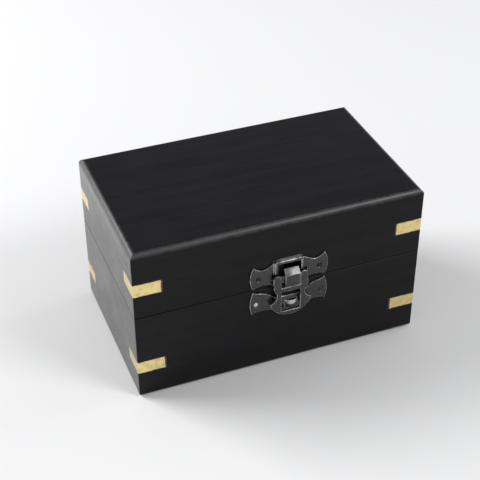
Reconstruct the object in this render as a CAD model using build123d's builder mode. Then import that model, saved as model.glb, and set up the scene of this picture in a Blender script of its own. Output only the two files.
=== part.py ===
from build123d import *
import math
import os

# Small black wooden box with a hinged lid, brass strips let in round its corners, a velvet
# lining, two butt hinges at the back and a stamped butterfly hasp at the front.
# Millimetres. +X runs to the right along the front, +Y to the back, +Z up. The origin is
# the middle of the underside.

# Box
box_length = 130.0
box_depth = 78.0
base_height = 42.8
lid_height = 31.8
parting_gap = 0.4
wall = 7.0
floor_thickness = 5.0
floor_rabbet = 3.0
lid_top_thickness = 7.0
corner_round = 0.5
top_round = 2.8
foot_round = 2.0
rim_bevel = 0.12
hinge_side_round = 1.0

# Brass strips let in round the corners
inlay_leg = 12.7
inlay_width = 6.35
inlay_thickness = 1.2
base_inlay_height = 16.4
lid_inlay_drop = 17.8

# Butt hinges
hinge_length = 20.0
hinge_end_distance = 27.0
hinge_inset = 0.6
hinge_leaf_width = 5.0
hinge_leaf_thickness = 0.8
hinge_pin_radius = 0.8
hinge_pin_fit = 0.04
knuckle_middle_length = 7.0
knuckle_side_room = 0.1
knuckle_room = 0.12
hinge_screw_spacing = 13.0
hinge_screw_inset = 2.0
screw_hole_radius = 0.65
countersink_angle = 90.0

# Lining pads
lining_thickness = 1.0
lining_round = 0.4
lining_rim_drop = 1.2

# Latch: where it stands, its sheet and the bar that the flap turns on. Heights on the upper
# plate are rises above the lid's foot, those on the flap are drops below the bar, and those
# on the lower plate are drops below the base's rim.
latch_offset = 3.0
latch_sheet = 0.7
ear_reach = 17.75
pivot_rise = 5.0
pivot_proud = 2.2
flap_bar_radius = 0.75
flap_bar_fit = 0.05

# Latch, upper plate
upper_centre_half = 5.9
upper_top_rise = 12.2
upper_scallop = (11.6, 9.7)
upper_spike = (16.2, 12.0)
upper_ear_rise = 6.3
upper_foot = (16.5, 0.6)
upper_arch = (11.5, 1.8)
upper_arch_end = 7.2
block_half = 7.0
block_shift = -0.5
block_top_rise = 13.4
block_foot_rise = 0.5
block_proud = 1.5
block_draft = 32.0
block_round = 1.5
tongue_width = 6.7
tongue_shift = 0.5
tongue_slack = 0.5
tongue_fold = 4.7
tongue_back = 1.35
tongue_end = 1.4
tongue_window = (-5.5, 5.0)
tongue_window_rise = 11.3
shoulder_room = 0.35
upper_hole = (13.9, 5.4)

# Latch, flap
flap_top = 1.1
flap_neck_half = 7.85
flap_waist_half = 6.5
flap_waist_drop = 8.0
flap_bell_radius = 9.9
flap_bell_drop = 10.1
flap_horn_below_bell = 2.9
flap_window_half = 4.35
flap_crossbar_drop = 5.3
flap_crossbar_height = 2.0
flap_foot_rail = 2.2
flap_step = 0.6
flap_step_drop = 2.9
flap_step_height = 1.4
flap_shoulder_round = 1.6
flap_window_round = 0.5

# Latch, lower plate and its catch
lower_saddle = (5.5, 6.2)
lower_crest = (10.6, 2.6)
lower_spike = (16.4, 0.5)
lower_ear_drop = 6.3
lower_foot = (16.9, 12.5)
lower_lobe_start = (10.0, 11.4)
lower_lobe_drop = 13.6
lower_hole = (15.0, 7.4)
catch_half = 2.9
catch_shift = 1.1
catch_room = 0.15
catch_foot_room = 0.3
catch_root_height = 3.7
catch_front_height = 2.1
catch_middle_sheet = 1.15
catch_side_sheet = 0.35

# Latch nails
nail_hole_radius = 0.65
nail_dimple_radius = 1.35
nail_head_radius = 1.08
nail_bevel = 0.33
nail_length = 5.5

# Sizes that follow from the ones above
box_height = base_height + parting_gap + lid_height
lid_foot = base_height + parting_gap
rail_height = lid_height - lid_top_thickness
inner_length = box_length - 2 * wall
inner_depth = box_depth - 2 * wall
front_face = -box_depth / 2
back_face = box_depth / 2
hinge_height = base_height + parting_gap / 2
hinge_axis = back_face - hinge_inset
knuckle_bore = hinge_pin_radius + hinge_pin_fit
knuckle_radius = knuckle_bore + hinge_leaf_thickness
knuckle_groove = knuckle_radius + knuckle_room
hinge_leaf_front = back_face - wall + (wall - hinge_leaf_width) / 2
hinge_places = {
    "left": hinge_end_distance - box_length / 2,
    "right": box_length / 2 - hinge_end_distance,
}
screw_line = hinge_leaf_front + hinge_screw_inset
screw_head_radius = screw_hole_radius + hinge_leaf_thickness
pivot_height = lid_foot + pivot_rise
flap_bore = flap_bar_radius + flap_bar_fit
flap_inner = pivot_proud - latch_sheet / 2
flap_bell_height = pivot_height - flap_bell_drop
flap_window_foot = flap_bell_height - flap_bell_radius + flap_foot_rail
catch_proud = flap_inner + flap_step - catch_room
catch_foot = flap_window_foot + catch_foot_room
catch_root_top = catch_foot + catch_root_height
reach = wall + 1.0
spare = 2.0

# The latch is drawn on the front face: x runs to the right, y is the height above the
# underside, and an extrusion stands proud of the wood.
latch_face = Plane(origin=(latch_offset, front_face, 0), x_dir=(1, 0, 0), z_dir=(0, -1, 0))
# The latch seen from the side: x is how far a point stands proud of the wood, y its height.
latch_side = Plane(origin=(latch_offset, front_face, 0), x_dir=(0, -1, 0), z_dir=(-1, 0, 0))


def on_lid(point):
    """A point of the upper plate, given by its rise above the lid's foot."""
    return point[0], lid_foot + point[1]


def on_base(point):
    """A point of the lower plate, given by its drop below the base's rim."""
    return point[0], base_height - point[1]


os.makedirs("parts", exist_ok=True)


def save(piece, name):
    """Label a finished piece and write it under its own name."""
    piece.part.label = name
    export_step(piece.part, f"parts/{name}.step")


# Corner strips

def corner_strip(x_side, y_side, height):
    """A brass strip bent round one vertical corner, its faces flush with the wood."""
    leg_x = box_length / 2 - inlay_leg / 2 + spare / 2
    leg_y = box_depth / 2 - inlay_leg / 2 + spare / 2
    with BuildPart() as strip:
        with BuildSketch(Plane.XY.offset(height - inlay_width / 2)):
            RectangleRounded(box_length, box_depth, corner_round)
            Rectangle(
                box_length - 2 * inlay_thickness,
                box_depth - 2 * inlay_thickness,
                mode=Mode.SUBTRACT,
            )
            with Locations((x_side * leg_x, y_side * leg_y)):
                Rectangle(inlay_leg + spare, inlay_leg + spare, mode=Mode.INTERSECT)
        extrude(amount=inlay_width)
    return strip


corners = {
    "front_left": (-1, -1),
    "front_right": (1, -1),
    "back_left": (-1, 1),
    "back_right": (1, 1),
}
base_strips = {
    name: corner_strip(x_side, y_side, base_inlay_height)
    for name, (x_side, y_side) in corners.items()
}
lid_strips = {
    name: corner_strip(x_side, y_side, box_height - lid_inlay_drop)
    for name, (x_side, y_side) in corners.items()
}


# Hinges

def knuckle_spans(place):
    """Where the three knuckles lie along a hinge: the base leaf has the outer two."""
    half = hinge_length / 2
    middle = knuckle_middle_length / 2
    outer = [
        (place - half, place - middle - knuckle_side_room),
        (place + middle + knuckle_side_room, place + half),
    ]
    return outer, [(place - middle, place + middle)]


def hinge_leaf(place, rim, into_wood, own, others, bore):
    """A leaf flush with the rim, with its rolled knuckles and two countersunk holes.

    into_wood is -1 in the base, where the leaf lies below the rim, and 1 in the lid.
    """
    leaf_depth = hinge_axis - hinge_leaf_front
    with BuildPart() as leaf:
        with BuildSketch(Plane.XY.offset(rim)):
            with Locations((place, hinge_leaf_front + leaf_depth / 2)):
                Rectangle(hinge_length, leaf_depth)
        extrude(amount=into_wood * hinge_leaf_thickness)
        for low, high in others:
            low = max(low, place - hinge_length / 2 - spare) - knuckle_side_room
            high = min(high, place + hinge_length / 2 + spare) + knuckle_side_room
            with BuildSketch(Plane.XY.offset(rim)):
                with Locations(((low + high) / 2, hinge_axis - knuckle_groove / 2)):
                    Rectangle(high - low, knuckle_groove)
            extrude(amount=into_wood * hinge_leaf_thickness, mode=Mode.SUBTRACT)
        for low, high in own:
            with BuildSketch(Plane.YZ.offset(low)):
                with Locations((hinge_axis, hinge_height)):
                    Circle(knuckle_radius)
            extrude(amount=high - low)
        with BuildSketch(Plane.YZ.offset(place)):
            with Locations((hinge_axis, hinge_height)):
                Circle(bore)
        extrude(amount=hinge_length, both=True, mode=Mode.SUBTRACT)
        for x in (place - hinge_screw_spacing / 2, place + hinge_screw_spacing / 2):
            with Locations(Plane((x, screw_line, rim), z_dir=(0, 0, -into_wood))):
                CounterSinkHole(
                    screw_hole_radius,
                    screw_head_radius,
                    counter_sink_angle=countersink_angle,
                )
    return leaf


def hinge_pin(place):
    """A plain pin as long as its hinge, tight in the base leaf and free in the lid leaf."""
    with BuildPart() as pin:
        with BuildSketch(Plane.YZ.offset(place)):
            with Locations((hinge_axis, hinge_height)):
                Circle(hinge_pin_radius)
        extrude(amount=hinge_length / 2, both=True)
    return pin


base_leaves = {}
lid_leaves = {}
hinge_pins = {}
for name, place in hinge_places.items():
    outer, middle = knuckle_spans(place)
    base_leaves[name] = hinge_leaf(place, base_height, -1, outer, middle, hinge_pin_radius)
    lid_leaves[name] = hinge_leaf(place, lid_foot, 1, middle, outer, knuckle_bore)
    hinge_pins[name] = hinge_pin(place)


# Latch nails

with BuildPart() as latch_nail:
    head_seat = nail_hole_radius + latch_sheet - nail_dimple_radius
    head_rim = head_seat + nail_head_radius - nail_hole_radius
    with BuildSketch(Plane.XZ):
        with BuildLine():
            Polyline(
                (0, head_rim + nail_bevel),
                (0, -nail_length),
                (nail_hole_radius, -nail_length),
                (nail_hole_radius, head_seat),
                (nail_head_radius, head_rim),
                (nail_head_radius - nail_bevel, head_rim + nail_bevel),
                close=True,
            )
        make_face()
    revolve(axis=Axis.Z)


def nail_places(hole):
    """The two nails of a latch plate, one in each ear."""
    across, height = hole
    return [
        Plane((latch_offset + side * across, front_face, height), z_dir=(0, -1, 0))
        for side in (-1, 1)
    ]


def latch_nails(hole):
    """The pair of nails that hold one latch plate."""
    with BuildPart() as nails:
        with Locations(*nail_places(hole)):
            add(latch_nail.part)
    return nails


upper_nails = latch_nails(on_lid(upper_hole))
lower_nails = latch_nails(on_base(lower_hole))


# Latch plates and flap

def side_arc(spike, middle_height, foot):
    """The bowed outer edge of an ear, from its spike to its foot."""
    return ThreePointArc(spike, (ear_reach, middle_height), foot)


def nail_dimples(hole):
    """Dimpled nail holes through both ears of the plate that is being made."""
    seats = [Plane(place.origin + Vector(0, -latch_sheet, 0), z_dir=(0, -1, 0))
             for place in nail_places(hole)]
    with Locations(*seats):
        CounterSinkHole(nail_hole_radius, nail_dimple_radius,
                        counter_sink_angle=countersink_angle)


# The tongue stands upright in front of the bar and then leans back over it at 45 degrees,
# with a little slack. It ends free, above and behind the bar.
tongue_front = pivot_proud + flap_bore + latch_sheet
lean = math.sqrt(0.5)
slope_inner = (flap_bore + tongue_slack) / lean
slope_outer = slope_inner + latch_sheet / lean
facet_top = pivot_height + slope_outer - (tongue_front - pivot_proud)
tongue_end_height = pivot_height + slope_outer + (pivot_proud - tongue_end)
tongue_foot = pivot_height - tongue_fold
tongue_window_top = lid_foot + tongue_window_rise
block_top = lid_foot + block_top_rise
block_foot = lid_foot + block_foot_rise


def half_round(half_width, proud, root):
    """The plan of the catch, from its root, so far proud of the wood, to its bowed front."""
    root_y = front_face - root
    shoulder_y = front_face - latch_sheet
    middle = latch_offset + catch_shift
    left, right = middle - half_width, middle + half_width
    with BuildSketch(Plane.XY.offset(catch_foot)) as plan:
        with BuildLine():
            ThreePointArc((left, shoulder_y), (middle, front_face - proud), (right, shoulder_y))
            Polyline((right, shoulder_y), (right, root_y), (left, root_y), (left, shoulder_y))
        make_face()
    return plan.sketch


with BuildPart() as upper_plate:
    with BuildSketch(latch_face):
        with BuildLine():
            top_end = on_lid((upper_centre_half, upper_top_rise))
            spike, foot = on_lid(upper_spike), on_lid(upper_foot)
            arch_end = on_lid((upper_arch_end, upper_foot[1]))
            Line((0, top_end[1]), top_end)
            Spline(top_end, on_lid(upper_scallop), spike, tangents=((1, -0.3), (0.8, 0.9)))
            side_arc(spike, lid_foot + upper_ear_rise, foot)
            ThreePointArc(foot, on_lid(upper_arch), arch_end)
            Line(arch_end, (0, arch_end[1]))
            mirror(about=Plane.YZ)
        make_face()
    extrude(amount=latch_sheet)
    # The middle is pressed outward as a block, hollow at the back.
    block_middle = (block_top + block_foot) / 2
    with BuildSketch(latch_face):
        with Locations((block_shift, block_middle)):
            RectangleRounded(2 * block_half, block_top - block_foot, block_round)
    extrude(amount=block_proud, taper=block_draft)
    with BuildSketch(latch_face):
        with Locations((block_shift, block_middle)):
            Rectangle(2 * (block_half - latch_sheet), block_top - block_foot - 2 * latch_sheet)
    extrude(amount=block_proud - latch_sheet, taper=block_draft, mode=Mode.SUBTRACT)
    # The window that the tongue was cut from, and its wider part that the tops of the
    # flap's rails swing back into.
    shoulder_reach = flap_top + shoulder_room
    with BuildSketch(latch_face):
        with Locations((0, pivot_height)):
            Rectangle(2 * (flap_neck_half + shoulder_room), 2 * shoulder_reach)
        with Locations((sum(tongue_window) / 2, (tongue_window_top + pivot_height) / 2)):
            Rectangle(tongue_window[1] - tongue_window[0], tongue_window_top - pivot_height)
    extrude(amount=block_proud + spare, mode=Mode.SUBTRACT)
    # The tongue: it starts at the block's foot, where it is folded solid under the bar,
    # stands upright in front of the bar and slopes back over it to its free end.
    with BuildSketch(latch_side.offset(-tongue_shift)):
        with BuildLine():
            Polyline(
                (tongue_back - latch_sheet, tongue_foot),
                (tongue_front, tongue_foot),
                (tongue_front, facet_top),
                (tongue_end, tongue_end_height),
                (tongue_end - latch_sheet * lean, tongue_end_height - latch_sheet * lean),
                (pivot_proud + flap_bore, pivot_height + slope_inner - flap_bore),
                (pivot_proud + flap_bore, pivot_height),
                (tongue_back - latch_sheet, pivot_height),
                close=True,
            )
        make_face()
    extrude(amount=tongue_width / 2, both=True)
    with BuildSketch(latch_side):
        with Locations((pivot_proud, pivot_height)):
            Circle(flap_bore)
    extrude(amount=tongue_width, both=True, mode=Mode.SUBTRACT)
    nail_dimples(on_lid(upper_hole))

with BuildPart() as latch_flap:
    # Side view: the sheet hangs from the bar and steps outward above the crossbar.
    flap_outer = flap_inner + latch_sheet
    step_top = pivot_height - flap_step_drop
    step_foot = step_top - flap_step_height
    bell_foot = flap_bell_height - flap_bell_radius
    with BuildSketch(latch_side):
        with BuildLine():
            Polyline(
                (flap_inner, pivot_height + flap_top),
                (flap_outer, pivot_height + flap_top),
                (flap_outer, step_top),
                (flap_outer + flap_step, step_foot),
                (flap_outer + flap_step, bell_foot),
                (flap_inner + flap_step, bell_foot),
                (flap_inner + flap_step, step_foot),
                (flap_inner, step_top),
                close=True,
            )
        make_face()
    extrude(amount=flap_bell_radius + spare, both=True)
    # Front view: neck, waist and round bell with a horn on each side.
    horn_reach = math.sqrt(flap_bell_radius ** 2 - flap_horn_below_bell ** 2)
    horn = (horn_reach, flap_bell_height - flap_horn_below_bell)
    neck_top = pivot_height + flap_top
    neck_foot = step_foot
    with BuildSketch(latch_face):
        with BuildLine():
            Line((0, neck_top), (flap_neck_half, neck_top))
            Line((flap_neck_half, neck_top), (flap_neck_half, neck_foot))
            Spline(
                (flap_neck_half, neck_foot),
                (flap_waist_half, pivot_height - flap_waist_drop),
                horn,
                tangents=((0, -1), (1, -0.35)),
            )
            ThreePointArc(
                horn,
                (flap_bell_radius * lean, flap_bell_height - flap_bell_radius * lean),
                (0, bell_foot),
            )
            mirror(about=Plane.YZ)
        make_face()
    extrude(amount=tongue_front + spare, mode=Mode.INTERSECT)
    crossbar_top = pivot_height - flap_crossbar_drop
    crossbar_foot = crossbar_top - flap_crossbar_height
    with BuildSketch(latch_face):
        with Locations((0, (neck_top + spare + crossbar_top) / 2)):
            Rectangle(2 * flap_window_half, neck_top + spare - crossbar_top)
        with Locations((0, (crossbar_foot + flap_window_foot) / 2)):
            RectangleRounded(
                2 * flap_window_half,
                crossbar_foot - flap_window_foot,
                flap_window_round,
            )
    extrude(amount=tongue_front + spare, mode=Mode.SUBTRACT)
    shoulders = latch_flap.edges().filter_by(Axis.Y).group_by(Axis.Z)[-1]
    fillet(shoulders, flap_shoulder_round)
    with BuildSketch(latch_side):
        with Locations((pivot_proud, pivot_height)):
            Circle(flap_bar_radius)
    extrude(amount=flap_window_half + latch_sheet / 2, both=True)

with BuildPart() as lower_plate:
    with BuildSketch(latch_face):
        with BuildLine():
            saddle, spike, foot = on_base(lower_saddle), on_base(lower_spike), on_base(lower_foot)
            lobe_foot = on_base((0, lower_lobe_drop))
            Line((0, saddle[1]), saddle)
            Spline(saddle, on_base(lower_crest), spike, tangents=((1, 0.5), (0.8, 0.9)))
            side_arc(spike, base_height - lower_ear_drop, foot)
            Spline(foot, on_base(lower_lobe_start), lobe_foot, tangents=((-0.8, 0.9), (-1, 0)))
            mirror(about=Plane.YZ)
        make_face()
    extrude(amount=latch_sheet)
    # The catch is a half round pressed outward and hollow behind. Its sloping top shows the
    # rim as a crescent, and the flap's window snaps under its open foot.
    extrude(half_round(catch_half, catch_proud, 0), amount=catch_root_height)
    hollow_half = catch_half - catch_side_sheet
    hollow_proud = catch_proud - catch_middle_sheet
    extrude(
        half_round(hollow_half, hollow_proud, -spare),
        amount=catch_root_height,
        mode=Mode.SUBTRACT,
    )
    catch_fall = (catch_root_height - catch_front_height) / (catch_proud - latch_sheet)
    catch_reach = catch_proud + spare - latch_sheet
    with BuildSketch(latch_side):
        with BuildLine():
            Polyline(
                (latch_sheet, catch_root_top),
                (catch_proud + spare, catch_root_top - catch_fall * catch_reach),
                (catch_proud + spare, catch_root_top + spare),
                (latch_sheet, catch_root_top + spare),
                close=True,
            )
        make_face()
    extrude(amount=catch_half + spare, both=True, mode=Mode.SUBTRACT)
    nail_dimples(on_base(lower_hole))


# Wooden frames, drawn whole and then cut into boards at the mitres

def hinge_room(rim, into_wood):
    """Cut the leaf pockets and barrel grooves into the frame that is being made."""
    leaf_depth = back_face + spare - hinge_leaf_front
    groove_half = hinge_length / 2 + knuckle_room
    for place in hinge_places.values():
        with BuildSketch(Plane.XY.offset(rim + into_wood * hinge_leaf_thickness)) as pocket:
            with Locations((place, hinge_leaf_front + leaf_depth / 2)):
                Rectangle(hinge_length, leaf_depth)
        pocket_depth = hinge_leaf_thickness + spare
        extrude(pocket.sketch, amount=-into_wood * pocket_depth, mode=Mode.SUBTRACT)
        with BuildSketch(Plane.YZ.offset(place)) as groove:
            with Locations((hinge_axis, hinge_height)):
                Circle(knuckle_groove)
        extrude(groove.sketch, amount=groove_half, both=True, mode=Mode.SUBTRACT)


def round_hinge_edge(rim, into_wood):
    """Round the meeting edge along the back, which lets the lid fall past upright."""
    middle = (back_face - hinge_side_round, rim + into_wood * hinge_side_round)
    waste = hinge_side_round + spare
    with BuildSketch(Plane.YZ) as profile:
        with Locations((middle[0] + waste / 2, middle[1] - into_wood * waste / 2)):
            Rectangle(waste, waste)
        with Locations(middle):
            Circle(hinge_side_round, mode=Mode.SUBTRACT)
    extrude(profile.sketch, amount=box_length, both=True, mode=Mode.SUBTRACT)


with BuildPart() as base_frame:
    with BuildSketch():
        Rectangle(box_length, box_depth)
    extrude(amount=base_height)
    chamfer(base_frame.faces().sort_by(Axis.Z)[-1].edges(), rim_bevel)
    fillet(base_frame.faces().sort_by(Axis.Z)[0].edges(), foot_round)
    with BuildSketch():
        RectangleRounded(box_length, box_depth, corner_round)
        Rectangle(inner_length, inner_depth, mode=Mode.SUBTRACT)
    extrude(amount=base_height, mode=Mode.INTERSECT)
    with BuildSketch():
        Rectangle(inner_length + 2 * floor_rabbet, inner_depth + 2 * floor_rabbet)
    extrude(amount=floor_thickness, mode=Mode.SUBTRACT)
    round_hinge_edge(base_height, -1)
    hinge_room(base_height, -1)
    for piece in [*base_strips.values(), lower_nails]:
        add(piece.part, mode=Mode.SUBTRACT)

with BuildPart() as lid_frame:
    with BuildSketch(Plane.XY.offset(lid_foot)):
        Rectangle(box_length, box_depth)
    extrude(amount=rail_height)
    chamfer(lid_frame.faces().sort_by(Axis.Z)[0].edges(), rim_bevel)
    with BuildSketch(Plane.XY.offset(lid_foot)):
        RectangleRounded(box_length, box_depth, corner_round)
        Rectangle(inner_length, inner_depth, mode=Mode.SUBTRACT)
    extrude(amount=rail_height, mode=Mode.INTERSECT)
    round_hinge_edge(lid_foot, 1)
    hinge_room(lid_foot, 1)
    for piece in [*lid_strips.values(), upper_nails]:
        add(piece.part, mode=Mode.SUBTRACT)


def mitre_wedge(side):
    """The plan of the ground that one board covers, between its two 45 degree mitres."""
    far_x, far_y = box_length / 2 + spare, box_depth / 2 + spare
    near_x, near_y = box_length / 2 - reach, box_depth / 2 - reach
    if side in ("front", "back"):
        y = -1 if side == "front" else 1
        return [(-far_x, y * far_y), (far_x, y * far_y), (near_x, y * near_y), (-near_x, y * near_y)]
    x = -1 if side == "left" else 1
    return [(x * far_x, -far_y), (x * far_x, far_y), (x * near_x, near_y), (x * near_x, -near_y)]


def mitred_board(frame, side):
    """One board of a frame, cut out at its mitres."""
    with BuildPart() as board:
        add(frame.part)
        with BuildSketch():
            with BuildLine():
                Polyline(*mitre_wedge(side), close=True)
            make_face()
        extrude(amount=box_height, mode=Mode.INTERSECT)
    return board


sides = ("front", "back", "left", "right")
base_boards = {side: mitred_board(base_frame, side) for side in sides}
lid_rails = {side: mitred_board(lid_frame, side) for side in sides}

with BuildPart() as base_bottom:
    with BuildSketch():
        Rectangle(inner_length + 2 * floor_rabbet, inner_depth + 2 * floor_rabbet)
    extrude(amount=floor_thickness)

with BuildPart() as lid_top:
    with BuildSketch(Plane.XY.offset(box_height - lid_top_thickness)):
        Rectangle(box_length, box_depth)
    extrude(amount=lid_top_thickness)
    fillet(lid_top.faces().sort_by(Axis.Z)[-1].edges(), top_round)
    with BuildSketch(Plane.XY.offset(box_height - lid_top_thickness)):
        RectangleRounded(box_length, box_depth, corner_round)
    extrude(amount=lid_top_thickness, mode=Mode.INTERSECT)


# Lining: a flat pad against the floor or ceiling and four pads against the walls

def flat_pad(height):
    """The pad on the floor, or under the lid's top, between the wall pads."""
    with BuildPart() as pad:
        with BuildSketch(Plane.XY.offset(height)):
            Rectangle(inner_length - 2 * lining_thickness, inner_depth - 2 * lining_thickness)
        extrude(amount=lining_thickness)
    return pad


def wall_pad(side, low, high, free_end):
    """A pad against one wall, rounded along its free edge: at its top (1) or foot (-1)."""
    half = lining_thickness / 2
    if side in ("front", "back"):
        across, along = lining_thickness, inner_length
        y = (inner_depth / 2 - half) * (-1 if side == "front" else 1)
        place, size = (0, y), (along, across)
        inward = Axis.Y if side == "front" else -Axis.Y
    else:
        across, along = lining_thickness, inner_depth - 2 * lining_thickness
        x = (inner_length / 2 - half) * (-1 if side == "left" else 1)
        place, size = (x, 0), (across, along)
        inward = Axis.X if side == "left" else -Axis.X
    with BuildPart() as pad:
        with BuildSketch(Plane.XY.offset(low)):
            with Locations(place):
                Rectangle(*size)
        extrude(amount=high - low)
        free_face = pad.faces().sort_by(Axis.Z)[-1 if free_end > 0 else 0]
        fillet(free_face.edges().sort_by(inward)[-1], lining_round)
    return pad


base_lining_top = base_height - lining_rim_drop
lid_lining_foot = lid_foot + lining_rim_drop
lid_ceiling = box_height - lid_top_thickness
base_floor_lining = flat_pad(floor_thickness)
lid_ceiling_lining = flat_pad(lid_ceiling - lining_thickness)
base_linings = {side: wall_pad(side, floor_thickness, base_lining_top, 1) for side in sides}
lid_linings = {side: wall_pad(side, lid_lining_foot, lid_ceiling, -1) for side in sides}


# Write every piece

for side in sides:
    save(base_boards[side], f"base_{side}")
    save(lid_rails[side], f"lid_{side}")
    save(base_linings[side], f"base_{side}_lining")
    save(lid_linings[side], f"lid_{side}_lining")
save(base_bottom, "base_bottom")
save(lid_top, "lid_top")
save(base_floor_lining, "base_floor_lining")
save(lid_ceiling_lining, "lid_ceiling_lining")
for name in corners:
    save(base_strips[name], f"base_inlay_{name}")
    save(lid_strips[name], f"lid_inlay_{name}")
for name in hinge_places:
    save(base_leaves[name], f"hinge_{name}_base_leaf")
    save(lid_leaves[name], f"hinge_{name}_lid_leaf")
    save(hinge_pins[name], f"hinge_{name}_pin")
save(upper_plate, "latch_upper_plate")
save(latch_flap, "latch_flap")
save(lower_plate, "latch_lower_plate")
save(upper_nails, "latch_upper_nails")
save(lower_nails, "latch_lower_nails")
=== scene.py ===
import math

import bmesh
import bpy
from mathutils import Euler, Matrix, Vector, noise


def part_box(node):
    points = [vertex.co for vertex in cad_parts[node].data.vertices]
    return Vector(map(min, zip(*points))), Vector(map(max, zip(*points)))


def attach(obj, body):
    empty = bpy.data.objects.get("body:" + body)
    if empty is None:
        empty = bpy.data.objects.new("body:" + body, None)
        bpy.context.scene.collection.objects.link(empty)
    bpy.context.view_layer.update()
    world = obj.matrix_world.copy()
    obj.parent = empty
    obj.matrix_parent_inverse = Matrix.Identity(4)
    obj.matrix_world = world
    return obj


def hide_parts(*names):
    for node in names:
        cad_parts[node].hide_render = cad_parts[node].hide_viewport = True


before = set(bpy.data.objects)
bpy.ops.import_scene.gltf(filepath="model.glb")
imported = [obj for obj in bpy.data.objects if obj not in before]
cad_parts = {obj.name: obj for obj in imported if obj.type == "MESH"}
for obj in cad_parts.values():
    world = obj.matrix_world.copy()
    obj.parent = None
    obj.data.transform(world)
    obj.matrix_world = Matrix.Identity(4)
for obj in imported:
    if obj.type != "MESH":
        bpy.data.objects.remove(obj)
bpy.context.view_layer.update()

# Looks of a small black painted box: brass strips let in round its corners, a stamped latch
# in black lacquer, two brass hinges at the back and a velvet lining. Lengths are in metres.
# Scales of patterns are in waves per metre, and colours are in linear light. A relief is its
# depth and its strength. A contrast is the two noise values that become 0 and 1.
mm = 0.001

# Places read from the frame
box_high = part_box("lid_top")[1]
half_length = box_high.x
half_depth = box_high.y
box_top = box_high.z
box_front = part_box("base_front")[0].y
rim_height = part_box("base_front")[1].z
lid_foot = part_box("lid_front")[0].z
strip_low, strip_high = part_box("base_inlay_front_left")
strip_leg = strip_high.x - strip_low.x
half_strip_width = (strip_high.z - strip_low.z) / 2
left_leaf_low, left_leaf_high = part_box("hinge_left_base_leaf")
right_leaf_low, right_leaf_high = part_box("hinge_right_base_leaf")

# Shared patterns
grain_stretch = (14.0, 210.0, 210.0)
grain_contrast = (0.35, 0.68)
pore_stretch = (130.0, 1300.0, 1300.0)
pore_contrast = (0.66, 0.80)
patch_contrast = (0.3, 0.7)
speck_contrast = (0.60, 0.72)
tarnish_contrast = (0.42, 0.70)
# Border of the grey band along the box's edges, which is partly wear and partly painted highlight
edge_band_scale = 240.0
edge_band_wander = 4.0
full_band_share = 0.4

# Black paint: its darks and lights, its grey along the edges, which is partly wear and partly a
# painted highlight, and its gloss
paint_colours = ((0.0052, 0.0049, 0.0061), (0.0096, 0.0091, 0.0106))
wear_and_highlight_colour = (0.092, 0.089, 0.090)
wear_and_highlight_share = 0.64
patches_in_tone = 0.4
paint_relief = (0.08 * mm, 0.6)
patch_roughness = 0.05
pore_roughness = 0.08
gloss_lost_to_specks = 0.30
gloss_lost_to_patches = 0.14
# The gloss at the box's ends fades between these distances from the end, and it starts
# this far in from the front and the back.
end_gloss_fade = (0.2 * mm, 2.6 * mm)
end_gloss_start = (0.1 * mm, 0.5 * mm)

# Brass strips: how much of each end the paint covers, and how it overruns the outline
strip_brass_colours = ((0.87, 0.70, 0.285), (0.62, 0.47, 0.18))
rubbed_strip_colour = (0.84, 0.72, 0.42)
overrun_paint_colour = (0.005, 0.005, 0.006)
overpainted_end = 0.5 * mm
overrun_raggedness = 0.9 * mm
overrun_edge = (0.14 * mm, 0.40 * mm)
overrun_scale = 620.0
rubbed_strip_share = 0.4
strip_roughness = (0.26, 0.46)
strip_relief = (0.04 * mm, 0.5)

# Hinges and nails
hinge_brass_colours = ((0.70, 0.54, 0.26), (0.42, 0.30, 0.13))
bright_nail_colours = ((0.74, 0.70, 0.56), (0.46, 0.41, 0.29))
dark_nail_colours = ((0.050, 0.046, 0.042), (0.018, 0.017, 0.015))
hinge_rub_stretch = (1600.0, 60.0, 60.0)
nail_rub_stretch = (900.0, 900.0, 900.0)
rubbed_smoother = 0.06
rubbed_rougher = 0.10
brass_relief = (0.02 * mm, 0.4)
# Painted shade round the rim of each nail head, where it meets the plate
head_rim_shade_colour = (0.010, 0.010, 0.010)
# The right one of two nails is the darker one, by a change between these places along X.
darkening_change = (-5.0 * mm, 5.0 * mm)

# Latch lacquer
lacquer_colours = ((0.007, 0.007, 0.0075), (0.015, 0.0147, 0.014))
lacquer_roughness = (0.20, 0.38)
lacquer_coat = 0.31
lacquer_relief = (0.05 * mm, 0.8)
# Bare metal, shown where the lacquer is rubbed off and as a painted highlight
bare_metal_and_highlight_colour = (0.56, 0.55, 0.54)
bare_sheet_roughness = 0.30
bare_sheet_metal = 0.9
wear_and_highlight_scale = 420.0
wear_and_highlight_contrast = (0.30, 0.58)

# Velvet and floor
velvet_colours = ((0.105, 0.004, 0.009), (0.19, 0.011, 0.020))
# Deep in the pile it is painted darker, as shade among the fibres
pile_shade_colour = (0.05, 0.002, 0.004)
pile_shade_share = 0.45
velvet_roughness = (0.95, 0.85)
velvet_relief = (0.10 * mm, 0.6)
brushed_scale = 38.0
brushed_contrast = (0.36, 0.64)
pile_scale = 2600.0
floor_colours = ((0.80, 0.80, 0.81), (0.84, 0.84, 0.84))
floor_patch_scale = 3.0

# Velvet pads
pad_cell = 2.0 * mm
pad_least_cells = 6
pad_edge = 3.0 * mm
pad_edge_share = 0.55
pad_ripple = 0.10 * mm
pad_ripple_size = 14.0 * mm
pad_ripple_start = Vector((3.1, 0.0, 0.0))
pad_crease = math.radians(60)

# Latch: how far its cut edges are rounded over, and how far they are rubbed bare, the bare metal
# being partly wear and partly a painted highlight
same_point = 0.002 * mm
same_plane = math.radians(1.5)
cut_edge = math.radians(35)
stamped_crease = math.radians(32)
stamped_round = 0.18 * mm
stamped_steps = 3
# Faces turned this way, towards the key light, get bare metal as a painted highlight
highlight_facing = Vector((0.0, -math.sqrt(0.5), math.sqrt(0.5)))
highlight_facing_limit = 0.97
facing_highlight_share = 0.30
sheltered_share = 1.7

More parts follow.
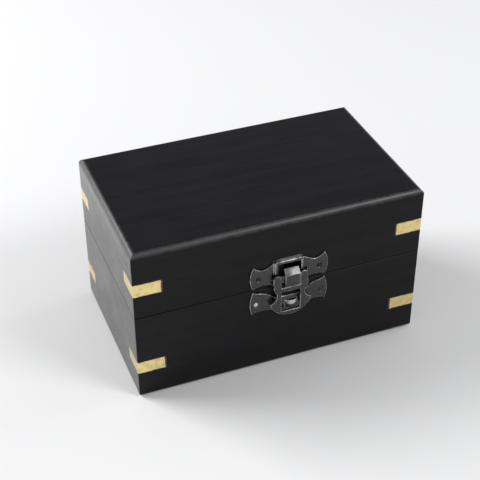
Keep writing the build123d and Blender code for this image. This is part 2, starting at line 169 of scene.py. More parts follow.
# Hinge screws and latch nails
turned_sides = 28
fixing_crease = math.radians(40)
screw_head_radius = 1.42 * mm
screw_head_depth = 0.72 * mm
screw_crown = 0.10 * mm
screw_crown_steps = 3
screw_slot_width = 0.42 * mm
screw_slot_depth = 0.34 * mm
slot_bar_length = 8.0 * mm
screw_shank_radius = 0.62 * mm
screw_length = 6.0 * mm
screw_pair_spacing = 13.0 * mm
screw_inset = 2.0 * mm
screw_turn = 1.3
# The heads' crowns lie just under the leaves' faces, so that the lid shuts over them.
screw_sink = screw_crown + 0.02 * mm
nail_shank_radius = 0.62 * mm
nail_length = 5.5 * mm
nail_dome = 0.52 * mm
nail_dome_steps = 6
nail_stand = 0.43 * mm
nail_turn = 3.0
# Beyond this share of its radius a head is marked for painted shade
unshaded_share = 0.90

# Studio: lamps as name, place, size and power, all aimed at one point
floor_size = 6.0
sky_colour = (0.97, 0.98, 1.0, 1.0)
sky_level = 0.38
lamps = (
    ("key", (0.58, -0.70, 0.88), 0.42, 5.4),
    ("left", (-0.95, 0.70, 0.80), 0.8, 19.0),
    ("right", (1.10, 0.10, 0.60), 0.6, 2.6),
)
lamp_aim = (0.0, 0.0, 0.03)

# Camera, as fitted to the corners of the box in the photograph
camera_place = (-0.15627, -0.39191, 0.34637)
camera_turn = (53.966, 0.101, -21.340)
camera_lens = 87.098
camera_sensor = 36.0


# Small helpers for node trees

def add_node(tree, kind, inputs=None, **settings):
    """One node, with its settings, and with values or links for the inputs that are given."""
    made = tree.nodes.new(kind)
    for name, value in settings.items():
        setattr(made, name, value)
    for name, value in (inputs or {}).items():
        if isinstance(value, bpy.types.NodeSocket):
            tree.links.new(value, made.inputs[name])
        else:
            made.inputs[name].default_value = value
    return made


def maths(tree, operation, *values, clamp=False):
    """The result of one Math node."""
    inputs = dict(enumerate(values))
    return add_node(tree, "ShaderNodeMath", inputs, operation=operation, use_clamp=clamp).outputs[0]


def plus(tree, first, second):
    """The sum of two values."""
    return maths(tree, "ADD", first, second)


def minus(tree, first, second):
    """The first value less the second."""
    return maths(tree, "SUBTRACT", first, second)


def times(tree, first, second):
    """The product of two values."""
    return maths(tree, "MULTIPLY", first, second)


def weighted(tree, *terms):
    """The sum of values, each times its weight."""
    total = times(tree, *terms[0])
    for value, weight in terms[1:]:
        total = plus(tree, total, times(tree, value, weight))
    return total


def unsigned(tree, value):
    """The value without its sign."""
    return maths(tree, "ABSOLUTE", value)


def remap(tree, value, low, high, to_low=0.0, to_high=1.0):
    """The value carried smoothly from one range to another."""
    inputs = {0: value, 1: low, 2: high, 3: to_low, 4: to_high}
    ramp = add_node(tree, "ShaderNodeMapRange", inputs, interpolation_type="SMOOTHSTEP")
    return ramp.outputs[0]


def blend_colour(tree, share, first, second):
    """The first colour where share is 0 and the second where it is 1."""
    mix = add_node(tree, "ShaderNodeMix", {0: share}, data_type="RGBA")
    for place, colour in ((6, first), (7, second)):
        if isinstance(colour, bpy.types.NodeSocket):
            tree.links.new(colour, mix.inputs[place])
        else:
            mix.inputs[place].default_value = (*colour, 1.0)
    return mix.outputs[2]


def blend_value(tree, share, first, second):
    """The first value where share is 0 and the second where it is 1."""
    return add_node(tree, "ShaderNodeMix", {0: share, 2: first, 3: second}).outputs[0]


def noise_at(tree, vector, scale, detail=3.0, roughness=0.5, distortion=0.0):
    """A noise value from 0 to 1 at a position."""
    inputs = {
        "Vector": vector,
        "Scale": scale,
        "Detail": detail,
        "Roughness": roughness,
        "Distortion": distortion,
    }
    return add_node(tree, "ShaderNodeTexNoise", inputs).outputs["Fac"]


def stretched(tree, vector, scale):
    """The position scaled by a vector, which stretches the pattern that reads it."""
    inputs = {0: vector, 1: scale}
    return add_node(tree, "ShaderNodeVectorMath", inputs, operation="MULTIPLY").outputs[0]


def along_axes(tree, vector):
    """The three parts of a position."""
    return add_node(tree, "ShaderNodeSeparateXYZ", {0: vector}).outputs


def new_group(name, takes, gives):
    """An empty shader group with its sockets, and what comes in and goes out."""
    tree = bpy.data.node_groups.new(name, "ShaderNodeTree")
    for socket, kind in takes.items():
        tree.interface.new_socket(socket, in_out="INPUT", socket_type=kind)
    for socket, kind in gives.items():
        tree.interface.new_socket(socket, in_out="OUTPUT", socket_type=kind)
    given = tree.nodes.new("NodeGroupInput").outputs
    out = tree.nodes.new("NodeGroupOutput").inputs
    return tree, given, out


def new_material(name, **settings):
    """A material with its shader, whose uniform values are set on its own sockets."""
    material = bpy.data.materials.new(name)
    material.use_nodes = True
    tree = material.node_tree
    shader = tree.nodes["Principled BSDF"]
    for socket, value in settings.items():
        shader.inputs[socket.replace("_", " ")].default_value = value
    return material, tree, shader


def use_group(tree, group, **values):
    """The outputs of a group placed in a material. A socket is named with _ for its spaces."""
    placed = tree.nodes.new("ShaderNodeGroup")
    placed.node_tree = group
    for name, value in values.items():
        socket = placed.inputs[name.replace("_", " ")]
        if isinstance(value, bpy.types.NodeSocket):
            tree.links.new(value, socket)
        else:
            socket.default_value = value
    return placed.outputs


def object_position(tree):
    """The position on the piece, in metres from the middle of the box's underside."""
    return tree.nodes.new("ShaderNodeTexCoord").outputs["Object"]


def bump(tree, shader, height, depth, strength):
    """Gives the shader a relief of that depth."""
    inputs = {"Height": height, "Distance": depth, "Strength": strength}
    relief = add_node(tree, "ShaderNodeBump", inputs)
    tree.links.new(relief.outputs["Normal"], shader.inputs["Normal"])


# Shared effects

def make_wood_grain():
    """Faint streaks along X with a few short pores, as thin paint leaves them showing."""
    tree, given, out = new_group(
        "wood grain",
        {"Position": "NodeSocketVector"},
        {"Grain": "NodeSocketFloat", "Pores": "NodeSocketFloat"},
    )
    long_lines = stretched(tree, given["Position"], grain_stretch)
    lines = noise_at(tree, long_lines, 1.0, detail=5.0, distortion=0.8)
    short_lines = stretched(tree, given["Position"], pore_stretch)
    pores = noise_at(tree, short_lines, 1.0, detail=2.0)
    tree.links.new(remap(tree, lines, *grain_contrast), out["Grain"])
    tree.links.new(remap(tree, pores, *pore_contrast), out["Pores"])
    return tree


def make_mottle():
    """Soft patches and fine specks, for unevenness of colour and sheen."""
    tree, given, out = new_group(
        "mottle",
        {
            "Position": "NodeSocketVector",
            "Patch Scale": "NodeSocketFloat",
            "Speck Scale": "NodeSocketFloat",
        },
        {"Patches": "NodeSocketFloat", "Specks": "NodeSocketFloat"},
    )
    position = given["Position"]
    patches = noise_at(tree, position, given["Patch Scale"], detail=4.0, roughness=0.6)
    specks = noise_at(tree, position, given["Speck Scale"], detail=2.0)
    tree.links.new(remap(tree, patches, *patch_contrast), out["Patches"])
    tree.links.new(remap(tree, specks, *speck_contrast), out["Specks"])
    return tree


def make_box_edges():
    """How near a point is to a level edge of the box, 1 on the edge and 0 away from it.

    Width is how far in the band of wear and painted highlight reaches, and Raggedness how far its
    border wanders.
    """
    tree, given, out = new_group(
        "box edges",
        {
            "Position": "NodeSocketVector",
            "Width": "NodeSocketFloat",
            "Raggedness": "NodeSocketFloat",
        },
        {"Edge": "NodeSocketFloat"},
    )
    x, y, z = along_axes(tree, given["Position"])
    from_ends = minus(tree, half_length, unsigned(tree, x))
    from_sides = minus(tree, half_depth, unsigned(tree, y))
    from_foot = unsigned(tree, z)
    from_top = unsigned(tree, minus(tree, box_top, z))
    from_level = maths(tree, "MINIMUM", from_foot, from_top)
    nearer = maths(tree, "MINIMUM", from_ends, from_sides)
    from_edge = maths(tree, "MAXIMUM", nearer, from_level)
    ragged = noise_at(tree, given["Position"], edge_band_scale, detail=4.0, roughness=0.65)
    spread = times(tree, given["Width"], given["Raggedness"])
    shift = times(tree, minus(tree, ragged, 0.5), spread)
    distance = plus(tree, from_edge, times(tree, shift, edge_band_wander))
    full = times(tree, given["Width"], full_band_share)
    tree.links.new(remap(tree, distance, full, given["Width"], 1.0, 0.0), out["Edge"])
    return tree


def make_metal_wear():
    """Fine rubbing along one direction, and dull patches."""
    tree, given, out = new_group(
        "metal wear",
        {
            "Position": "NodeSocketVector",
            "Rub Stretch": "NodeSocketVector",
            "Patch Scale": "NodeSocketFloat",
        },
        {"Rubbing": "NodeSocketFloat", "Tarnish": "NodeSocketFloat"},
    )
    position = given["Position"]
    rubbing = noise_at(tree, stretched(tree, position, given["Rub Stretch"]), 1.0)
    patches = noise_at(tree, position, given["Patch Scale"], detail=4.0, roughness=0.62)
    tree.links.new(rubbing, out["Rubbing"])
    tree.links.new(remap(tree, patches, *tarnish_contrast), out["Tarnish"])
    return tree


wood_grain = make_wood_grain()
mottle = make_mottle()
box_edges = make_box_edges()
metal_wear = make_metal_wear()


# Finishes

def black_paint(name, along, edge_band_width, ragged=0.5, roughness=0.36, coat=0.0, end_coat=0.0,
                edge_band_coat=0.0):
    """Thin black paint over fine grained wood, grey along the box's level edges from wear and as a
    painted highlight.

    along is the axis that the grain follows. The grey band of wear and painted highlight is
    edge_band_width wide, and ragged is how far its border wanders. coat is the gloss on the
    whole piece, end_coat that beside the box's ends and edge_band_coat that on the grey edges.
    """
    material, tree, shader = new_material(name, Specular_IOR_Level=0.14, Coat_Roughness=0.34)
    position = object_position(tree)
    turn = (0.0, 0.0, 0.0) if along == "X" else (0.0, 0.0, math.radians(90))
    turned = add_node(tree, "ShaderNodeMapping", {"Vector": position, "Rotation": turn}).outputs[0]
    grain = use_group(tree, wood_grain, Position=turned)
    patchy = use_group(tree, mottle, Position=position, Patch_Scale=55.0, Speck_Scale=420.0)
    edge = use_group(tree, box_edges, Position=position, Width=edge_band_width,
                     Raggedness=ragged)["Edge"]

    tone = blend_value(tree, patches_in_tone, grain["Grain"], patchy["Patches"])
    paint = blend_colour(tree, tone, *paint_colours)
    # The grey along the edges is partly wear and partly painted highlight
    wear_and_highlight = times(tree, edge, wear_and_highlight_share)
    tree.links.new(blend_colour(tree, wear_and_highlight, paint, wear_and_highlight_colour),
                   shader.inputs["Base Color"])

    sheen = blend_value(tree, patchy["Patches"], roughness, roughness + patch_roughness)
    sheen = plus(tree, sheen, times(tree, grain["Pores"], pore_roughness))
    tree.links.new(sheen, shader.inputs["Roughness"])
    height = weighted(tree, (grain["Grain"], 0.20), (grain["Pores"], -0.35),
                      (patchy["Patches"], 0.6), (patchy["Specks"], 0.35))
    bump(tree, shader, height, *paint_relief)

    parts = along_axes(tree, position)
    from_end = minus(tree, half_length, unsigned(tree, parts[0]))
    from_side = minus(tree, half_depth, unsigned(tree, parts[1]))
    on_end = times(tree, remap(tree, from_end, *end_gloss_fade, end_coat, 0.0),
                   remap(tree, from_side, *end_gloss_start))
    coats = maths(tree, "MAXIMUM", on_end, blend_value(tree, edge, coat, max(coat, edge_band_coat)))
    pitted = minus(tree, 1.0, times(tree, patchy["Specks"], gloss_lost_to_specks))
    pitted = minus(tree, pitted, times(tree, patchy["Patches"], gloss_lost_to_patches))
    tree.links.new(times(tree, coats, pitted), shader.inputs["Coat Weight"])
    return material


def strip_brass(name, node):
    """Pale brass strip filed flush, its outline overrun unevenly by the paint beside it.

    node is one of the strips at the height that the material is for.
    """
    material, tree, shader = new_material(name, Coat_Weight=0.5, Coat_Roughness=0.30)
    position = object_position(tree)
    wear = use_group(tree, metal_wear, Position=position, Rub_Stretch=(90.0, 90.0, 2400.0),
                     Patch_Scale=330.0)
    low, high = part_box(node)
    middle = (low.z + high.z) / 2
    shown = strip_leg - overpainted_end
    x, y, z = along_axes(tree, position)
    from_side = minus(tree, half_strip_width, unsigned(tree, minus(tree, z, middle)))
    from_end_x = minus(tree, unsigned(tree, x), half_length - shown)
    from_end_y = minus(tree, unsigned(tree, y), half_depth - shown)
    inside = maths(tree, "MINIMUM", from_side, maths(tree, "MINIMUM", from_end_x, from_end_y))
    ragged = noise_at(tree, position, overrun_scale, roughness=0.6)
    shift = times(tree, minus(tree, ragged, 0.5), overrun_raggedness)
    bare = remap(tree, plus(tree, inside, shift), *overrun_edge)

    brass = blend_colour(tree, wear["Tarnish"], *strip_brass_colours)
    rubbed = times(tree, wear["Rubbing"], rubbed_strip_share)
    brass = blend_colour(tree, rubbed, brass, rubbed_strip_colour)
    tree.links.new(blend_colour(tree, bare, overrun_paint_colour, brass),
                   shader.inputs["Base Color"])
    tree.links.new(bare, shader.inputs["Metallic"])
    tree.links.new(blend_value(tree, wear["Rubbing"], *strip_roughness),
                   shader.inputs["Roughness"])
    height = weighted(tree, (wear["Rubbing"], 0.3), (bare, 0.6))
    bump(tree, shader, height, *strip_relief)
    return material


def plain_brass(name, colours, roughness, stretch, rim_shade_name=None, right_darkening=0.0):
    """Brass that has been handled: rubbed along one way, dulled in patches.

    rim_shade_name is an attribute of the piece, 1 on the rim of a nail head, painted dark as
    shade where the head meets the plate. right_darkening is how much darker the piece is on the
    right half of the box than on the left.
    """
    material, tree, shader = new_material(name, Metallic=1.0, Specular_IOR_Level=0.1)
    position = object_position(tree)
    wear = use_group(tree, metal_wear, Position=position, Rub_Stretch=stretch,
                     Patch_Scale=260.0)
    colour = blend_colour(tree, wear["Tarnish"], *colours)
    # Darker towards the right of the box, by a change along X
    if right_darkening:
        darkening = remap(tree, along_axes(tree, position)[0], *darkening_change, 0.0, right_darkening)
        colour = blend_colour(tree, darkening, colour, dark_nail_colours[1])
    # Painted shade round the rim of the head, against the plate
    if rim_shade_name:
        head_rim_shade = add_node(tree, "ShaderNodeAttribute", attribute_name=rim_shade_name).outputs["Fac"]
        colour = blend_colour(tree, head_rim_shade, colour, head_rim_shade_colour)
        tree.links.new(minus(tree, 1.0, head_rim_shade), shader.inputs["Metallic"])
    tree.links.new(colour, shader.inputs["Base Color"])
    sheen = blend_value(tree, wear["Rubbing"], roughness - rubbed_smoother,
                        roughness + rubbed_rougher)
    tree.links.new(sheen, shader.inputs["Roughness"])
    bump(tree, shader, wear["Rubbing"], *brass_relief)
    return material


def black_lacquer(name):
    """Black lacquer on stamped sheet, with its rounded edges bright bare metal, partly from wear
    and partly as a painted highlight.
    """
    material, tree, shader = new_material(name, Coat_Roughness=0.12)
    position = object_position(tree)
    patchy = use_group(tree, mottle, Position=position, Patch_Scale=210.0, Speck_Scale=1500.0)
    # Bare metal on the rounded edges and on faces turned to the key light: partly wear, partly
    # painted highlight
    wear_and_highlight = add_node(tree, "ShaderNodeAttribute", attribute_name="wear_and_highlight").outputs["Fac"]
    ragged = noise_at(tree, position, wear_and_highlight_scale, detail=5.0, roughness=0.7)
    wear_and_highlight = maths(tree, "MULTIPLY", wear_and_highlight, remap(tree, ragged, *wear_and_highlight_contrast), clamp=True)

    lacquer = blend_colour(tree, patchy["Patches"], *lacquer_colours)
    tree.links.new(blend_colour(tree, wear_and_highlight, lacquer, bare_metal_and_highlight_colour),
                   shader.inputs["Base Color"])
    tree.links.new(times(tree, wear_and_highlight, bare_sheet_metal), shader.inputs["Metallic"])
    sheen = blend_value(tree, patchy["Patches"], *lacquer_roughness)
    tree.links.new(blend_value(tree, wear_and_highlight, sheen, bare_sheet_roughness),
                   shader.inputs["Roughness"])
    tree.links.new(blend_value(tree, wear_and_highlight, lacquer_coat, 0.0), shader.inputs["Coat Weight"])
    height = weighted(tree, (patchy["Patches"], 1.6), (patchy["Specks"], 0.4))
    bump(tree, shader, height, *lacquer_relief)
    return material


def red_velvet(name):
    """Short pile velvet: deep red, lighter where the pile leans towards the light, darker deep in
    the pile as painted shade.
    """
    material, tree, shader = new_material(
        name,
        Sheen_Weight=0.55,
        Sheen_Roughness=0.35,
        Sheen_Tint=(0.75, 0.25, 0.28, 1.0),
        Specular_IOR_Level=0.15,
    )
    position = object_position(tree)
    brushed = noise_at(tree, position, brushed_scale, roughness=0.6, distortion=0.8)
    pile = noise_at(tree, position, pile_scale, detail=2.0, roughness=0.7)
    strokes = remap(tree, brushed, *brushed_contrast)
    colour = blend_colour(tree, strokes, *velvet_colours)
    # Painted shade among the fibres, deep in the pile
    pile_shade = times(tree, pile, pile_shade_share)
    colour = blend_colour(tree, pile_shade, colour, pile_shade_colour)
    tree.links.new(colour, shader.inputs["Base Color"])
    tree.links.new(blend_value(tree, strokes, *velvet_roughness), shader.inputs["Roughness"])
    height = weighted(tree, (pile, 1.0), (strokes, 0.6))
    bump(tree, shader, height, *velvet_relief)
    return material


def pale_floor(name):
    """A pale matt studio surface."""
    material, tree, shader = new_material(name, Roughness=0.75, Specular_IOR_Level=0.3)
    patches = noise_at(tree, object_position(tree), floor_patch_scale, detail=2.0)
    tree.links.new(blend_colour(tree, patches, *floor_colours), shader.inputs["Base Color"])
    return material


long_paint = black_paint("paint along X", "X", 1.4 * mm, ragged=0.25, edge_band_coat=0.5)
short_paint = black_paint("paint along Y", "Y", 0.4 * mm, coat=1.0)
# On the top the grey band is widest: mostly a painted highlight on the rounded edge, with some wear
top_paint = black_paint("paint on top", "X", 2.6 * mm, ragged=0.15, roughness=0.30,
                        end_coat=1.0, edge_band_coat=0.35)
base_strip_brass = strip_brass("base strip brass", "base_inlay_front_left")
lid_strip_brass = strip_brass("lid strip brass", "lid_inlay_front_left")
hinge_brass = plain_brass("hinge brass", hinge_brass_colours, 0.34, hinge_rub_stretch)
bright_nail = plain_brass("bright nail", bright_nail_colours, 0.42, nail_rub_stretch, "head_rim_shade",
                          right_darkening=0.93)
dark_nail = plain_brass("dark nail", dark_nail_colours, 0.30, nail_rub_stretch, "head_rim_shade")
latch_black = black_lacquer("latch lacquer")
velvet = red_velvet("red velvet")
floor_paint = pale_floor("pale floor")


def finish_node(name, material):
    """Gives a CAD node its material."""
    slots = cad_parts[name].data.materials
    slots.clear()
    slots.append(material)


for side, paint in (
    ("front", long_paint), ("back", long_paint), ("left", short_paint), ("right", short_paint),
):
    finish_node(f"base_{side}", paint)
    finish_node(f"lid_{side}", paint)
finish_node("base_bottom", long_paint)
finish_node("lid_top", top_paint)
for corner in ("front_left", "front_right", "back_left", "back_right"):
    finish_node(f"base_inlay_{corner}", base_strip_brass)
    finish_node(f"lid_inlay_{corner}", lid_strip_brass)
for hinge in ("left", "right"):
    for part in ("base_leaf", "lid_leaf", "pin"):
        finish_node(f"hinge_{hinge}_{part}", hinge_brass)


# Pieces made here

def link(name, mesh, material=None):
    """A new object at the origin, with its mesh and its material."""
    made = bpy.data.objects.new(name, mesh)
    bpy.context.scene.collection.objects.link(made)
    if material:
        mesh.materials.clear()
        mesh.materials.append(material)
    return made


def settle(piece):
    """Applies the piece's modifiers, so that its object keeps a plain mesh."""
    bpy.context.view_layer.update()
    evaluated = piece.evaluated_get(bpy.context.evaluated_depsgraph_get())
    mesh = bpy.data.meshes.new_from_object(evaluated)
    piece.modifiers.clear()
    piece.data = mesh


# Latch: the stamped pieces with their cut edges rounded over

def nail_places(node):
    """The centres of the two nail heads of a latch plate, and their radius."""
    low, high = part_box(node)
    head = (high.z - low.z) / 2
    level = (low.z + high.z) / 2
    return [Vector((x, box_front, level)) for x in (low.x + head, high.x - head)], head


def stamped_copy(node, body, nails=None):
    """The node's shape with rounded edges, marked as bare metal along them for wear and painted
    highlight, but not round its nails.
    """
    places, head = nail_places(nails) if nails else ([], 0.0)
    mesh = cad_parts[node].data.copy()
    work = bmesh.new()
    work.from_mesh(mesh)
    bmesh.ops.remove_doubles(work, verts=work.verts, dist=same_point)
    bmesh.ops.dissolve_limit(work, angle_limit=same_plane, verts=work.verts, edges=work.edges)
    bmesh.ops.recalc_face_normals(work, faces=work.faces)
    wear_and_highlight = work.faces.layers.float.new("wear_and_highlight")
    sharp = [edge for edge in work.edges
             if len(edge.link_faces) == 2 and edge.calc_face_angle(0.0) > cut_edge]
    rounded = bmesh.ops.bevel(work, geom=sharp, offset=stamped_round, segments=stamped_steps,
                              profile=0.5, affect="EDGES", clamp_overlap=False)
    for face in rounded["faces"]:
        centre = face.calc_center_median()
        sheltered = any((centre - place).length < sheltered_share * head for place in places)
        face[wear_and_highlight] = 0.0 if sheltered else 1.0
    for face in work.faces:
        face.smooth = True
        # Faces turned towards the key light get bare metal: a painted highlight
        if face.normal.dot(highlight_facing) > highlight_facing_limit:
            face[wear_and_highlight] = max(face[wear_and_highlight], facing_highlight_share)
    work.to_mesh(mesh)
    work.free()
    piece = link(f"{node}_stamped", mesh, latch_black)
    mesh.set_sharp_from_angle(angle=stamped_crease)
    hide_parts(node)
    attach(piece, body)


stamped_copy("latch_upper_plate", "lid", "latch_upper_nails")
stamped_copy("latch_flap", "latch_flap")
stamped_copy("latch_lower_plate", "base", "latch_lower_nails")


# Screws and nails, set in pairs by one Geometry Nodes tree

def turned_fixing(name, profile):
    """A closed body of revolution about Z from its half profile, which runs down its axis."""
    work = bmesh.new()
    # The rim of the head is marked, for a painted shade where it meets the plate
    head_rim_shade = work.verts.layers.float.new("head_rim_shade")
    widest = max(radius for radius, height in profile)
    rings = []
    for radius, height in profile:
        if radius == 0.0:
            rings.append([work.verts.new((0.0, 0.0, height))])
            continue
        rings.append([
            work.verts.new((radius * math.cos(math.tau * step / turned_sides),
                            radius * math.sin(math.tau * step / turned_sides), height))
            for step in range(turned_sides)
        ])
        for vert in rings[-1]:
            vert[head_rim_shade] = 1.0 if radius > unshaded_share * widest else 0.0
    for upper, lower in zip(rings, rings[1:]):
        for step in range(turned_sides):
            after = (step + 1) % turned_sides
            corners = [upper[step % len(upper)], lower[step % len(lower)],
                       lower[after % len(lower)], upper[after % len(upper)]]
            work.faces.new(list(dict.fromkeys(corners)))
    bmesh.ops.recalc_face_normals(work, faces=work.faces)
    mesh = bpy.data.meshes.new(name)
    work.to_mesh(mesh)
    work.free()
    return link(name, mesh)


def cut_slot(piece, width, depth, top):
    """Cuts a driver slot across the head."""
    bar = bpy.data.meshes.new("slot bar")
    work = bmesh.new()
    bmesh.ops.create_cube(work, size=1.0)
    bmesh.ops.scale(work, vec=(slot_bar_length, width, 2 * depth), verts=work.verts)
    bmesh.ops.translate(work, vec=(0.0, 0.0, top), verts=work.verts)
    work.to_mesh(bar)
    work.free()
    cutter = link("slot bar", bar)
    cut = piece.modifiers.new("slot", "BOOLEAN")
    cut.operation = "DIFFERENCE"
    cut.object = cutter
    cut.solver = "EXACT"
    settle(piece)
    bpy.data.objects.remove(cutter)


def crowned(radius, crown, steps):
    """Points of a low dome from its top down to its rim at height 0."""
    ball = (radius ** 2 + crown ** 2) / (2 * crown)
    top_angle = math.asin(radius / ball)
    return [
        (ball * math.sin(top_angle * step / steps),
         crown - ball * (1 - math.cos(top_angle * step / steps)))
        for step in range(steps + 1)
    ]


def make_pair_tree():
    """Places a fixing in pairs along X: how many pairs, how far apart, each a little turned."""
    tree = bpy.data.node_groups.new("fixing pairs", "GeometryNodeTree")
    sockets = {
        "Geometry": "NodeSocketGeometry",
        "Fixing": "NodeSocketObject",
        "Pairs": "NodeSocketInt",
        "Pair Distance": "NodeSocketFloat",
        "Spacing": "NodeSocketFloat",
        "Centre": "NodeSocketVector",
        "Facing": "NodeSocketVector",
        "Turn": "NodeSocketFloat",
        "Seed": "NodeSocketInt",
        "Finish": "NodeSocketMaterial",
    }
    for name, kind in sockets.items():
        tree.interface.new_socket(name, in_out="INPUT", socket_type=kind)
    tree.interface.new_socket("Geometry", in_out="OUTPUT", socket_type="NodeSocketGeometry")
    given = tree.nodes.new("NodeGroupInput").outputs
    out = tree.nodes.new("NodeGroupOutput").inputs

    def row(count, step):
        """A row of points along X, centred on the origin."""
        gaps = minus(tree, count, 1.0)
        start = times(tree, times(tree, gaps, step), -0.5)
        first = add_node(tree, "ShaderNodeCombineXYZ", {0: start}).outputs[0]
        offset = add_node(tree, "ShaderNodeCombineXYZ", {0: step}).outputs[0]
        inputs = {"Count": count, "Start Location": first, "Offset": offset}
        return add_node(tree, "GeometryNodeMeshLine", inputs).outputs[0]

    pairs = row(given["Pairs"], given["Pair Distance"])
    two = row(2, given["Spacing"])
    spread = add_node(tree, "GeometryNodeInstanceOnPoints", {"Points": pairs, "Instance": two})
    points = add_node(tree, "GeometryNodeRealizeInstances", {0: spread.outputs[0]}).outputs[0]
    shape = add_node(tree, "GeometryNodeObjectInfo", {"Object": given["Fixing"]})
    inputs = {2: times(tree, given["Turn"], -1.0), 3: given["Turn"], "Seed": given["Seed"]}
    turn = add_node(tree, "FunctionNodeRandomValue", inputs).outputs[1]
    spin = add_node(tree, "ShaderNodeCombineXYZ", {2: turn}).outputs[0]
    inputs = {"Points": points, "Instance": shape.outputs["Geometry"], "Rotation": spin}
    placed = add_node(tree, "GeometryNodeInstanceOnPoints", inputs).outputs[0]
    inputs = {"Instances": placed, "Rotation": given["Facing"], "Local Space": False}
    faced = add_node(tree, "GeometryNodeRotateInstances", inputs).outputs[0]
    inputs = {"Instances": faced, "Translation": given["Centre"], "Local Space": False}
    moved = add_node(tree, "GeometryNodeTranslateInstances", inputs).outputs[0]
    solid = add_node(tree, "GeometryNodeRealizeInstances", {0: moved}).outputs[0]
    inputs = {"Geometry": solid, "Material": given["Finish"]}
    finished = add_node(tree, "GeometryNodeSetMaterial", inputs).outputs[0]
    tree.links.new(finished, out["Geometry"])
    return tree


pair_tree = make_pair_tree()


def fixings(name, body, slot_name, **values):
    """A piece made by the tree of pairs, riding on one body."""
    piece = link(name, bpy.data.meshes.new(name))
    modifier = piece.modifiers.new("pairs", "NODES")
    modifier.node_group = pair_tree
    sockets = {item.name: item.identifier for item in pair_tree.interface.items_tree
               if item.in_out == "INPUT"}
    for socket, value in values.items():
        modifier[sockets[socket.replace("_", " ")]] = value
    settle(piece)
    for face in piece.data.polygons:
        face.use_smooth = True
    piece.data.set_sharp_from_angle(angle=fixing_crease)
    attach(piece, body)
    return piece


screw = turned_fixing("screw pattern", [
    *crowned(screw_head_radius, screw_crown, screw_crown_steps),
    (screw_shank_radius, -screw_head_depth),
    (screw_shank_radius, 2 * screw_shank_radius - screw_length),
    (0.0, -screw_length),
])
cut_slot(screw, screw_slot_width, screw_slot_depth, screw_crown)

hinge_distance = (right_leaf_low.x + right_leaf_high.x - left_leaf_low.x - left_leaf_high.x) / 2
screw_line = left_leaf_low.y + screw_inset
for name, body, level, facing, seed in (
    ("hinge_base_screws", "base", rim_height - screw_sink, (0.0, 0.0, 0.0), 4),
    ("hinge_lid_screws", "lid", lid_foot + screw_sink, (math.pi, 0.0, 0.0), 9),
):
    fixings(name, body, "hinge_brass", Fixing=screw, Pairs=2, Pair_Distance=hinge_distance,
            Spacing=screw_pair_spacing, Centre=(0.0, screw_line, level), Facing=facing,
            Turn=screw_turn, Seed=seed, Finish=hinge_brass)


def latch_nails(node, body, slot_name, material, seed):
    """The two nails of one latch plate, with low round heads in place of the plain ones."""
    (left, right), head = nail_places(node)
    nail = turned_fixing("nail pattern", [
        *crowned(head, nail_dome, nail_dome_steps),
        (nail_shank_radius, nail_shank_radius - head),
        (nail_shank_radius, 2 * nail_shank_radius - nail_length),
        (0.0, -nail_length),
    ])
    centre = (left + right) / 2 - Vector((0.0, nail_stand, 0.0))
    piece = fixings(f"{node}_domed", body, slot_name, Fixing=nail, Pairs=1, Pair_Distance=0.0,
                    Spacing=right.x - left.x, Centre=centre, Facing=(math.pi / 2, 0.0, 0.0),
                    Turn=nail_turn, Seed=seed, Finish=material)
    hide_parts(node)
    bpy.data.objects.remove(nail)


latch_nails("latch_upper_nails", "lid", "dark_nails", dark_nail, 2)
latch_nails("latch_lower_nails", "base", "bright_nails", bright_nail, 5)
bpy.data.objects.remove(screw)


# Velvet lining: soft pads that stand for the plain ones

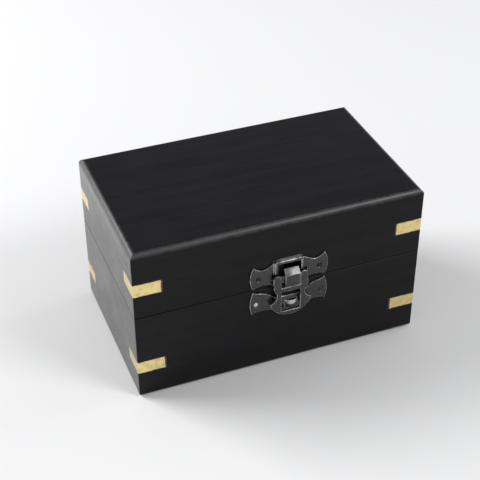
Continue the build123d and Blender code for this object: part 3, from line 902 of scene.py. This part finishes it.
def velvet_pad(node, body, thin_axis, free_sign):
    """A pad with a soft crown and drawn-in edges, in the room of its plain solid.

    thin_axis is the axis across its thickness, and free_sign is the side that shows.
    """
    low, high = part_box(node)
    across = [axis for axis in range(3) if axis != thin_axis]
    sizes = [high[axis] - low[axis] for axis in across]
    thickness = high[thin_axis] - low[thin_axis]
    columns, rows = [max(pad_least_cells, round(size / pad_cell)) for size in sizes]
    backed = low[thin_axis] if free_sign > 0 else high[thin_axis]
    work = bmesh.new()

    def point(column, row, lifted):
        """A corner of the grid, on the glued side or lifted to the side that shows."""
        place = Vector((0.0, 0.0, 0.0))
        shares = [column / columns, row / rows]
        nearest = min(min(share, 1 - share) * size for share, size in zip(shares, sizes))
        rise = 1.0
        if nearest < pad_edge:
            swell = math.sin(math.pi / 2 * nearest / pad_edge)
            rise = pad_edge_share + (1 - pad_edge_share) * swell
        for axis, share in zip(across, shares):
            place[axis] = low[axis] + share * (high[axis] - low[axis])
        ripple = noise.noise(place / pad_ripple_size + pad_ripple_start)
        level = (thickness - pad_ripple) * rise + pad_ripple * ripple * rise
        place[thin_axis] = backed + free_sign * (level if lifted else 0.0)
        return work.verts.new(place)

    grids = []
    for lifted in (False, True):
        grid = [[point(column, row, lifted) for row in range(rows + 1)]
                for column in range(columns + 1)]
        grids.append(grid)
        for first, second in zip(grid, grid[1:]):
            for row in range(rows):
                work.faces.new([first[row], second[row], second[row + 1], first[row + 1]])
    glued, free = grids
    rim = [(column, 0) for column in range(columns)]
    rim += [(columns, row) for row in range(rows)]
    rim += [(column, rows) for column in range(columns, 0, -1)]
    rim += [(0, row) for row in range(rows, 0, -1)]
    for (i, j), (k, m) in zip(rim, rim[1:] + rim[:1]):
        work.faces.new([glued[i][j], glued[k][m], free[k][m], free[i][j]])
    bmesh.ops.recalc_face_normals(work, faces=work.faces)
    for face in work.faces:
        face.smooth = True
    mesh = bpy.data.meshes.new(f"{node}_velvet")
    work.to_mesh(mesh)
    work.free()
    piece = link(f"{node}_velvet", mesh, velvet)
    mesh.set_sharp_from_angle(angle=pad_crease)
    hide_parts(node)
    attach(piece, body)


for body in ("base", "lid"):
    for side, thin_axis, free_sign in (
        ("front", 1, 1), ("back", 1, -1), ("left", 0, 1), ("right", 0, -1),
    ):
        velvet_pad(f"{body}_{side}_lining", body, thin_axis, free_sign)
velvet_pad("base_floor_lining", "base", 2, 1)
velvet_pad("lid_ceiling_lining", "lid", 2, -1)


# Studio

def studio_floor():
    """A flat pale floor at the height of the box's underside."""
    work = bmesh.new()
    bmesh.ops.create_grid(work, x_segments=8, y_segments=8, size=floor_size / 2)
    mesh = bpy.data.meshes.new("floor")
    work.to_mesh(mesh)
    work.free()
    return link("floor", mesh, floor_paint)


def studio_world():
    """Even pale surroundings."""
    world = bpy.data.worlds.new("studio")
    world.use_nodes = True
    sky = world.node_tree.nodes["Background"]
    sky.inputs["Color"].default_value = sky_colour
    sky.inputs["Strength"].default_value = sky_level
    bpy.context.scene.world = world


def softbox(name, place, size, power):
    """A square soft light at a place."""
    light = bpy.data.lights.new(name, "AREA")
    light.shape = "SQUARE"
    light.size = size
    light.energy = power
    holder = bpy.data.objects.new(name, light)
    holder.location = place
    holder.rotation_euler = (Vector(lamp_aim) - Vector(place)).to_track_quat("-Z", "Y").to_euler()
    bpy.context.scene.collection.objects.link(holder)


def studio_camera():
    """The camera at the photograph's viewing angle."""
    camera = bpy.data.objects.new("camera", bpy.data.cameras.new("camera"))
    camera.data.lens = camera_lens
    camera.data.sensor_width = camera_sensor
    camera.location = camera_place
    camera.rotation_euler = Euler([math.radians(angle) for angle in camera_turn])
    bpy.context.scene.collection.objects.link(camera)
    return camera


studio_floor()
studio_world()
for lamp in lamps:
    softbox(*lamp)
bpy.context.scene.camera = studio_camera()
bpy.context.scene.view_settings.view_transform = "Standard"
